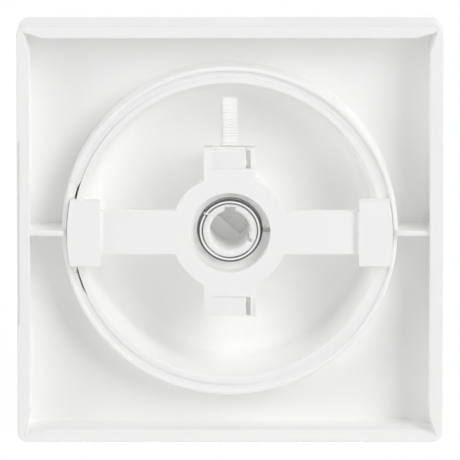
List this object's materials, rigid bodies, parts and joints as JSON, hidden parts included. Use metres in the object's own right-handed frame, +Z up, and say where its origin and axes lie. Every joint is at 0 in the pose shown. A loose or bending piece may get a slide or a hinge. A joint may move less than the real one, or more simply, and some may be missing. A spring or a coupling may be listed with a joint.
{
  "type": "rotary control cover",
  "caption": "Square moulded cover plate with a collar that carries a large round knob; a snap-in carrier holds a keyed socket with a clamp ring that drives the shaft of a wall control.",
  "frame": {"origin": "centre of the plate's rear rim plane, on the knob's axis", "axes": "+Y out of the rear rim towards the wall, so the front faces -Y; +Z up, with the pointer at the top"},
  "size_m": [0.063, 0.0136, 0.063],
  "materials": {
    "cover_white": "satin moulded",
    "knob_white": "satin moulded",
    "carrier_white": "fine matt moulded",
    "socket_white": "smooth moulded",
    "spring_steel": "bright drawn",
    "pointer_white": "translucent"
  },
  "bodies": {
    "cover": {"cover_plate": "cover_white"},
    "knob": {"rotary_knob": "knob_white", "carrier_bridge": "carrier_white", "shaft_socket": "socket_white", "clamp_ring": "spring_steel", "pointer_strip": "pointer_white"}
  },
  "joints": [
    {"name": "knob_turn", "type": "hinge", "parent": "cover", "child": "knob", "pos_m": [0, 0, 0], "axis": [0, 1, 0], "continuous": true}
  ]
}
